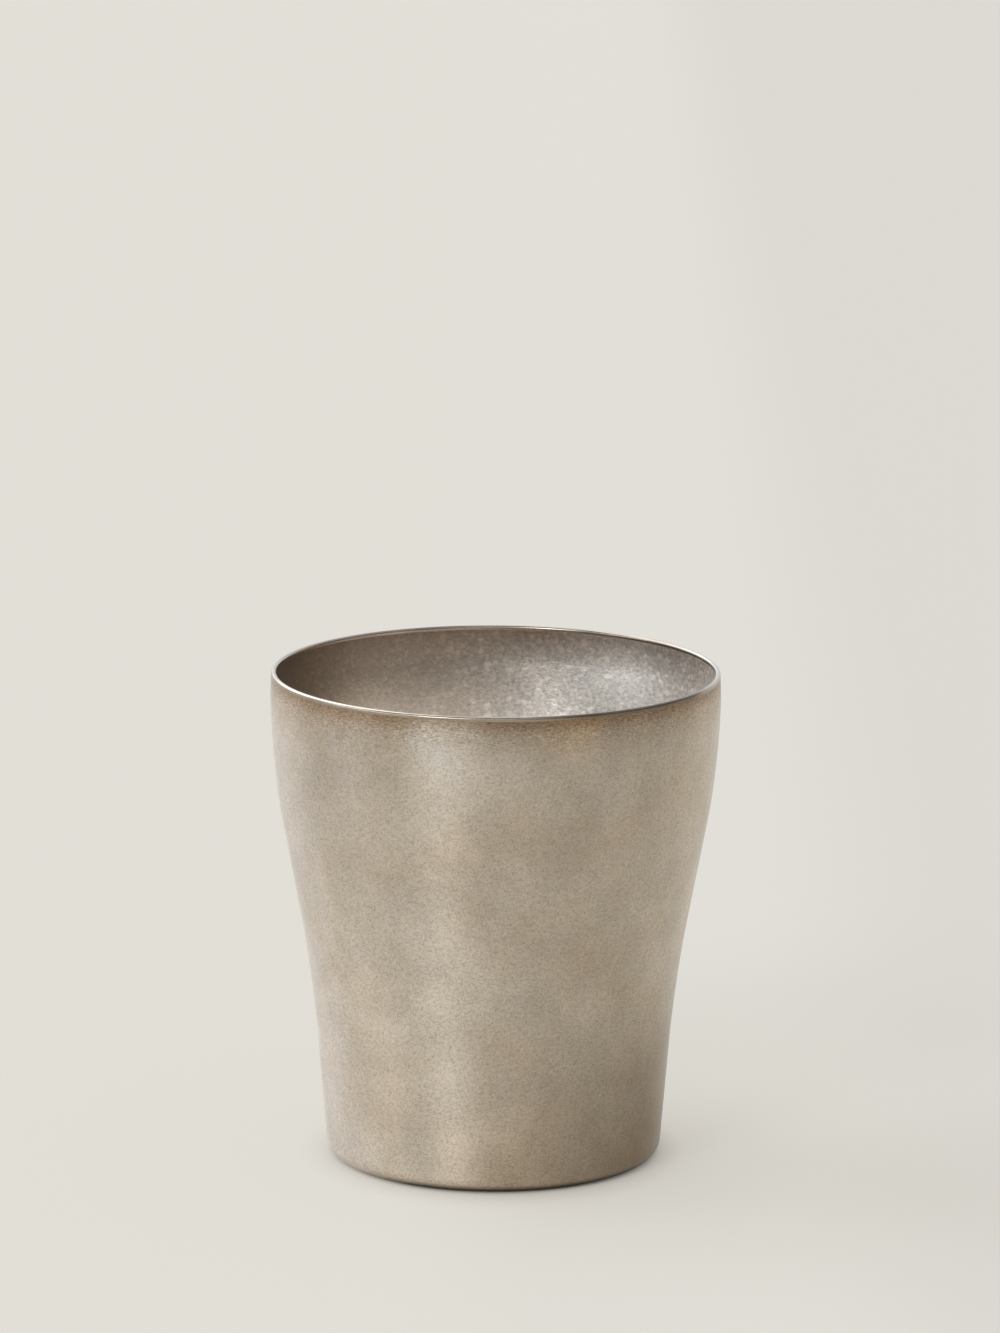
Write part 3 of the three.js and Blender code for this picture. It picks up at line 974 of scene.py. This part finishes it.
# Painted shade right under the lip.
UNDER_LIP_SHADE = colour(0.66, 0.57, 0.48)
UNDER_LIP_SHADE_STARTS, UNDER_LIP_SHADE_FULL = 86.6, 89.4
# A painted highlight at the top of the highlight band.
PAINTED_HIGHLIGHT = colour(1.08, 1.2, 1.36)
NECK_HIGHLIGHT = {"centre": (-10, -38, 88), "reach": 10.0, "depth": 0.9}
# Painted golden light right of the middle.
PAINTED_GOLDEN_LIGHT = colour(1.32, 1.27, 1.18)
NECK_GOLDEN_LIGHT = {"centre": (14, -37, 88), "reach": 10.0, "depth": 0.85}

lines = place_group(tree, turned_lines, Coordinates=where, Fineness=5600.0, Breaks=56.0)
waver = sums(tree, "MULTIPLY", noise(tree, where, RAGGED_SIZE, RAGGED_DETAIL), RAGGED * MM)
ragged_level = sums(tree, "ADD", level, waver)
mean_waver = RAGGED / 2
burnish_and_shade_low = (BURNISH_AND_SHADE_STARTS + mean_waver) * MM
burnish_and_shade_high = (BURNISH_AND_SHADE_FULL + mean_waver) * MM
burnish_and_shade = spread(tree, ragged_level, burnish_and_shade_low, burnish_and_shade_high)
under_lip_shade = spread(tree, level, UNDER_LIP_SHADE_STARTS * MM, UNDER_LIP_SHADE_FULL * MM, ease="LINEAR")
print("burnished from", BURNISH_AND_SHADE_STARTS, "to", BURNISH_AND_SHADE_FULL, "mm")

# %% [markdown]
# Foot edge. Where the wall turns under to the floor, a thin dark line of painted shade runs along the
# edge: a painted contact shadow. It is a mask by height, and it fades out on the left, the lit side,
# and on the standing ring underneath.

# %% Satin shell: painted contact shadow at the foot edge
# Painted contact shadow along the foot edge.
CONTACT_SHADE = colour(0.22, 0.19, 0.16)
CONTACT_SHADE_FULL, CONTACT_SHADE_ENDS = 0.2, 1.7
CONTACT_SHADE_NONE_AT, CONTACT_SHADE_ALL_AT = -27.0, -12.0
RING_ENDS, EDGE_STARTS = 27.4, 28.4

low_down = spread(tree, level, CONTACT_SHADE_ENDS * MM, CONTACT_SHADE_FULL * MM)
shaded_side = spread(tree, sideways, CONTACT_SHADE_NONE_AT * MM, CONTACT_SHADE_ALL_AT * MM)
off_ring = spread(tree, length(tree, where), RING_ENDS * MM, EDGE_STARTS * MM)
contact_shade = sums(tree, "MULTIPLY", sums(tree, "MULTIPLY", low_down, shaded_side), off_ring)
print("dark foot edge up to", CONTACT_SHADE_ENDS, "mm")

# %% [markdown]
# The parts come together. The dents are browner and the ridges between them brighter. The burnished
# mouth is the same metal with the lines and the painted brown shade on it, then the painted shade under
# the lip, and then the painted highlight and the painted golden light. The painted contact shadow
# darkens the foot edge, and the relief of the grain and the lines goes to a bump.

# %% Satin shell: put together
DENT_BROWN, RIDGE_BRIGHT = colour(0.75, 0.72, 0.68), colour(1.18, 1.19, 1.21)
RIDGE_FULL = 0.8
STREAK_DARK, STREAK_BRIGHT = 0.42, 1.22
SATIN_ROUGH_DENT, SATIN_ROUGH_RIDGE = 0.4, 0.5
RELIEF_DEPTH, RELIEF_STRENGTH = 0.06, 0.5

ridge_share = spread(tree, grain["Speckle"], 0.0, RIDGE_FULL)
speckled = stain(tree, 1.0, heated_and_painted, mix_colours(tree, ridge_share, DENT_BROWN, RIDGE_BRIGHT))
streaked = shade(tree, speckled, ramp(tree, lines["Line"], STREAK_DARK, STREAK_BRIGHT))
# The mouth takes the burnish lines and the painted shade; then the shade under the lip, the painted
# highlight and the painted golden light.
darker_mouth = mix_colours(tree, burnish_and_shade, speckled, stain(tree, 1.0, streaked, BURNISH_AND_SHADE_BROWN))
browned = stain(tree, under_lip_shade, darker_mouth, UNDER_LIP_SHADE)
highlighted = stain(tree, patch_share(tree, where, **NECK_HIGHLIGHT), browned, PAINTED_HIGHLIGHT)
mouth = stain(tree, patch_share(tree, where, **NECK_GOLDEN_LIGHT), highlighted, PAINTED_GOLDEN_LIGHT)
# The painted contact shadow darkens the foot edge last.
tree.links.new(stain(tree, contact_shade, mouth, CONTACT_SHADE), skin["Base Color"])
tree.links.new(ramp(tree, grain["Speckle"], SATIN_ROUGH_DENT, SATIN_ROUGH_RIDGE), skin["Roughness"])
relief = sums(tree, "ADD", grain["Height"], sums(tree, "MULTIPLY", lines["Height"], burnish_and_shade))
tree.links.new(bump(tree, relief, RELIEF_DEPTH, RELIEF_STRENGTH), skin["Normal"])
print("satin shell", len(tree.nodes), "nodes")

# %% [markdown]
# Crystal inside: the tint. Weak clouds keep the grey from being even. The left of the inside is
# painted browner and darker, as painted shade, and so is a smaller place on the back wall. Towards the
# lip the metal is painted darker too, as more painted shade: a mask by height, from none at the level
# that the camera can just see to full at the lip. On the right, painted light lies over both: one wide
# pale patch and a smaller one low down.

# %% Crystal liner: tint
CRYSTAL = colour(0.73, 0.65, 0.565)
CRYSTAL_WARM = colour(0.71, 0.62, 0.525)
CRYSTAL_COOL = colour(0.72, 0.65, 0.575)
# Painted shade on the left of the inside and low on the back wall.
LINER_SHADE_BROWN = colour(0.34, 0.25, 0.175)
LEFT_SHADE_PATCH = {"centre": (-37, 12, 88), "reach": 66.0, "depth": 0.58}
# Painted shade, darker towards the lip.
RIM_SHADE_BROWN = colour(0.46, 0.425, 0.39)
RIM_SHADE_STARTS, RIM_SHADE_FULL = 73.0, 89.0
# Painted light on the lit right of the inside.
LINER_PAINTED_LIGHT = colour(0.94, 0.875, 0.8)
RIGHT_LIGHT_PATCH = {"centre": (38, 2, 75), "reach": 54.0, "depth": 0.92}
LOW_LIGHT_PATCH = {"centre": (30, 24, 75), "reach": 17.0, "depth": 0.95}
LOW_SHADE_PATCH = {"centre": (-9, 36, 72), "reach": 18.0, "depth": 0.3}

tree, skin, where = new_finish("crystal_titanium", liner, Metallic=1.0)
clouds = place_group(
    tree, oxide_clouds, Coordinates=where, Base=CRYSTAL, Warm=CRYSTAL_WARM, Cool=CRYSTAL_COOL, Size=110.0,
)
left_shade = patch_share(tree, where, **LEFT_SHADE_PATCH)
low_shade = patch_share(tree, where, **LOW_SHADE_PATCH)
brown = mix_colours(tree, sums(tree, "MAXIMUM", left_shade, low_shade), clouds["Color"], LINER_SHADE_BROWN)
darker_mouth = spread(tree, along(tree, where, "Z"), RIM_SHADE_STARTS * MM, RIM_SHADE_FULL * MM, ease="LINEAR")
rim_shaded = stain(tree, darker_mouth, brown, RIM_SHADE_BROWN)
right_light = patch_share(tree, where, **RIGHT_LIGHT_PATCH)
low_light = patch_share(tree, where, **LOW_LIGHT_PATCH)
liner_tint = mix_colours(tree, sums(tree, "MAXIMUM", right_light, low_light), rim_shaded, LINER_PAINTED_LIGHT)
print("crystal liner tint", len(tree.nodes), "nodes")

# %% [markdown]
# Crystal inside: the grains. They are about half a millimetre across, with painted glints that make
# them softly bright, as where they catch the soft box, and dull elsewhere, and a fine grain lies over
# them. Both shade the tint, and both are raised a little: the facets first, and the fine grain over
# them. The drawn wall was stretched round the cup, so the grains are a little flattened, and their
# painted brightness is weaker on the shaded left and stronger on the lit right.

# %% Crystal liner: grains
SPANGLE_DARK, SPANGLE_BRIGHT = 0.84, 1.3
CALM_DARK, CALM_BRIGHT = 0.94, 1.16
# Painted light: the grains' brightness spreads wider on the lit right.
LIT_SIDE_NONE_AT, LIT_SIDE_ALL_AT = -26.0, 4.0
GRAIN_FLATTEN = (1, 1, 1.35)
DUST_DARK, DUST_BRIGHT = 0.79, 1.21
LINER_ROUGH_DENT, LINER_ROUGH_RIDGE = 0.33, 0.43
FACET_DEPTH, FACET_STRENGTH, FACET_NOISE_SIZE, FACET_NOISE_DETAIL = 0.05, 0.4, 1500.0, 2.0
DUST_DEPTH, DUST_STRENGTH = 0.04, 0.4

flattened = vectors(tree, "MULTIPLY", where, GRAIN_FLATTEN)
grains = place_group(tree, crystal_grains, Coordinates=flattened, Size=1600.0)
dust = place_group(tree, blast_grain, Coordinates=where, Size=3200.0, Flatten=1.35)
calm = shade(tree, liner_tint, ramp(tree, grains["Spangle"], CALM_DARK, CALM_BRIGHT))
lively = shade(tree, liner_tint, ramp(tree, grains["Spangle"], SPANGLE_DARK, SPANGLE_BRIGHT))
lit_side_share = spread(tree, along(tree, where, "X"), LIT_SIDE_NONE_AT * MM, LIT_SIDE_ALL_AT * MM)
spangled = mix_colours(tree, lit_side_share, calm, lively)
dusted = shade(tree, spangled, ramp(tree, dust["Speckle"], DUST_DARK, DUST_BRIGHT))
tree.links.new(dusted, skin["Base Color"])
tree.links.new(ramp(tree, dust["Speckle"], LINER_ROUGH_DENT, LINER_ROUGH_RIDGE), skin["Roughness"])
uneven = noise(tree, where, FACET_NOISE_SIZE, FACET_NOISE_DETAIL)
facets = bump(tree, sums(tree, "ADD", grains["Height"], uneven), FACET_DEPTH, FACET_STRENGTH)
tree.links.new(bump(tree, dust["Height"], DUST_DEPTH, DUST_STRENGTH, facets), skin["Normal"])
print("crystal liner", len(tree.nodes), "nodes")

# %% [markdown]
# Polished lip. It is ground and then polished with a pad that runs round the mouth, so its only marks
# are fine lines along the edge. On the right it is painted a darker brown, as painted shade. The shade
# is a mask across the cup that comes in right of the middle, goes again at the very end, and is weaker
# on the far side.

# %% Finish: polished lip
POLISHED = colour(0.44, 0.37, 0.295)
POLISHED_WARM = colour(0.42, 0.34, 0.26)
POLISHED_COOL = colour(0.43, 0.385, 0.335)
# Painted shade on the right of the lip.
LIP_SHADE_BROWN = colour(0.47, 0.44, 0.41)
LIP_SHADE_STARTS, LIP_SHADE_FULL = 4.0, 19.0
LIP_SHADE_FADES, LIP_SHADE_GONE = 35.0, 38.5
LIP_SHADE_NEAR, LIP_SHADE_FAR, LIP_SHADE_FAR_SHARE = -8.0, 8.0, 0.45
PAD_LINE_DARK, PAD_LINE_BRIGHT = 0.94, 1.04
LIP_ROUGH_LOW, LIP_ROUGH_HIGH = 0.2, 0.3
PAD_LINE_DEPTH, PAD_LINE_STRENGTH = 0.01, 0.4

tree, skin, where = new_finish("polished_titanium", lip, Metallic=1.0)
clouds = place_group(
    tree, oxide_clouds, Coordinates=where, Size=140.0,
    Base=POLISHED, Warm=POLISHED_WARM, Cool=POLISHED_COOL,
)
lines = place_group(tree, turned_lines, Coordinates=where, Fineness=14000.0, Breaks=6.0)
lined = shade(tree, clouds["Color"], ramp(tree, lines["Line"], PAD_LINE_DARK, PAD_LINE_BRIGHT))
sideways = along(tree, where, "X")
coming = spread(tree, sideways, LIP_SHADE_STARTS * MM, LIP_SHADE_FULL * MM)
going = spread(tree, sideways, LIP_SHADE_GONE * MM, LIP_SHADE_FADES * MM)
depthwise = along(tree, where, "Y")
near = spread(tree, depthwise, LIP_SHADE_FAR * MM, LIP_SHADE_NEAR * MM, LIP_SHADE_FAR_SHARE, 1.0)
# Painted shade on the lip's right side, weaker on the far side.
lip_shade = sums(tree, "MULTIPLY", sums(tree, "MULTIPLY", coming, going), near)
tinted = stain(tree, lip_shade, lined, LIP_SHADE_BROWN)
tree.links.new(tinted, skin["Base Color"])
tree.links.new(ramp(tree, lines["Line"], LIP_ROUGH_LOW, LIP_ROUGH_HIGH), skin["Roughness"])
tree.links.new(bump(tree, lines["Height"], PAD_LINE_DEPTH, PAD_LINE_STRENGTH), skin["Normal"])
print("polished lip", len(tree.nodes), "nodes")

# %% [markdown]
# Pressed base. The pan and its cover are rolled sheet, pressed and then wiped round with a pad, so
# they have fine circles about the axis, crossed by a faint grain, and their own furnace clouds.

# %% Finish: pressed base
PRESSED = colour(0.48, 0.435, 0.375)
PRESSED_WARM = colour(0.46, 0.385, 0.3)
PRESSED_COOL = colour(0.42, 0.41, 0.395)
CIRCLE_DARK, CIRCLE_BRIGHT = 0.88, 1.08
CIRCLE_ROUGH_LOW, CIRCLE_ROUGH_HIGH = 0.3, 0.42
CIRCLE_DEPTH, CIRCLE_STRENGTH = 0.03, 0.5
PRESS_GRAIN_DEPTH, PRESS_GRAIN_STRENGTH = 0.03, 0.3


def pressed_finish(name, piece, fineness):
    tree, skin, where = new_finish(name, piece, Metallic=1.0)
    clouds = place_group(
        tree, oxide_clouds, Coordinates=where, Size=120.0,
        Base=PRESSED, Warm=PRESSED_WARM, Cool=PRESSED_COOL,
    )
    lines = place_group(tree, turned_lines, Coordinates=where, Fineness=fineness, Breaks=5.0)
    dust = place_group(tree, blast_grain, Coordinates=where, Size=2600.0, Flatten=1.0)
    toned = shade(tree, clouds["Color"], ramp(tree, lines["Line"], CIRCLE_DARK, CIRCLE_BRIGHT))
    tree.links.new(toned, skin["Base Color"])
    tree.links.new(ramp(tree, lines["Line"], CIRCLE_ROUGH_HIGH, CIRCLE_ROUGH_LOW), skin["Roughness"])
    circles = bump(tree, lines["Height"], CIRCLE_DEPTH, CIRCLE_STRENGTH)
    pressed = bump(tree, dust["Height"], PRESS_GRAIN_DEPTH, PRESS_GRAIN_STRENGTH, circles)
    tree.links.new(pressed, skin["Normal"])
    print(name, len(tree.nodes), "nodes")


pressed_finish("pressed_titanium_pan", pan, fineness=3600.0)
pressed_finish("pressed_titanium_cover", cover, fineness=4200.0)

# %% [markdown]
# Weld bead. A weld that was run round in small pulses has a ripple for each pulse. The ripples are
# waves of the angle round the axis, read from a radial gradient, and they change the tone, the gloss
# and the height together. The furnace left straw and blue-grey clouds on it.

# %% Finish: weld bead
WELD = colour(0.4, 0.37, 0.34)
WELD_STRAW = colour(0.42, 0.34, 0.25)
WELD_BLUE = colour(0.34, 0.34, 0.36)
WELD_RIPPLES = 220.0
RIPPLE_DARK, RIPPLE_BRIGHT = 0.85, 1.1
RIPPLE_ROUGH_LOW, RIPPLE_ROUGH_HIGH = 0.33, 0.45
RIPPLE_DEPTH, RIPPLE_STRENGTH = 0.04, 0.6

tree, skin, where = new_finish("weld_titanium", seam, Metallic=1.0)
clouds = place_group(
    tree, oxide_clouds, Coordinates=where, Base=WELD, Warm=WELD_STRAW, Cool=WELD_BLUE, Size=300.0,
)
angle = add_node(tree, "ShaderNodeTexGradient", {0: where}, gradient_type="RADIAL").outputs[1]
ripple = sums(tree, "SINE", sums(tree, "MULTIPLY", angle, WELD_RIPPLES * math.tau), 0.0)
crest = spread(tree, ripple, -1.0, 1.0, ease="LINEAR")
rippled = shade(tree, clouds["Color"], ramp(tree, crest, RIPPLE_DARK, RIPPLE_BRIGHT))
tree.links.new(rippled, skin["Base Color"])
tree.links.new(ramp(tree, crest, RIPPLE_ROUGH_HIGH, RIPPLE_ROUGH_LOW), skin["Roughness"])
tree.links.new(bump(tree, crest, RIPPLE_DEPTH, RIPPLE_STRENGTH), skin["Normal"])
print("weld bead", len(tree.nodes), "nodes")

# %% [markdown]
# Inside the jacket, the solder is dull with soft spots where it froze, the pellet is a dark matt
# powder, and the strap is bright rolled strip. They differ only in their tints, the size and depth of
# their grain and their gloss, so one helper makes all three.

# %% Finish: solder, pellet and strap
SOLDER_TINTS = [(0.3, 0.31, 0.32), (0.27, 0.26, 0.25), (0.36, 0.37, 0.39)]
POWDER_TINTS = [(0.09, 0.085, 0.08), (0.11, 0.095, 0.08), (0.07, 0.072, 0.075)]
STRIP_TINTS = [(0.47, 0.46, 0.45), (0.45, 0.42, 0.38), (0.5, 0.5, 0.5)]
PLAIN_DARK, PLAIN_BRIGHT = 0.88, 1.1
PLAIN_STRENGTH = 0.6


def plain_finish(name, piece, tints, metallic, cloud_size, grain_size, grain_depth, roughness):
    tree, skin, where = new_finish(name, piece, Metallic=metallic)
    base, warm, cool = [colour(*tint) for tint in tints]
    clouds = place_group(
        tree, oxide_clouds, Coordinates=where, Base=base, Warm=warm, Cool=cool, Size=cloud_size,
    )
    grain = place_group(tree, blast_grain, Coordinates=where, Size=grain_size, Flatten=1.0)
    toned = shade(tree, clouds["Color"], ramp(tree, grain["Speckle"], PLAIN_DARK, PLAIN_BRIGHT))
    tree.links.new(toned, skin["Base Color"])
    tree.links.new(ramp(tree, grain["Speckle"], *roughness), skin["Roughness"])
    tree.links.new(bump(tree, grain["Height"], grain_depth, PLAIN_STRENGTH), skin["Normal"])
    print(name, len(tree.nodes), "nodes")


plain_finish(
    "solder", seal, SOLDER_TINTS, metallic=0.9,
    cloud_size=400.0, grain_size=1800.0, grain_depth=0.05, roughness=(0.35, 0.55),
)
plain_finish(
    "sintered_powder", pellet, POWDER_TINTS, metallic=0.3,
    cloud_size=500.0, grain_size=4200.0, grain_depth=0.08, roughness=(0.8, 0.95),
)
plain_finish(
    "spring_strip", clip, STRIP_TINTS, metallic=1.0,
    cloud_size=350.0, grain_size=5200.0, grain_depth=0.02, roughness=(0.24, 0.36),
)
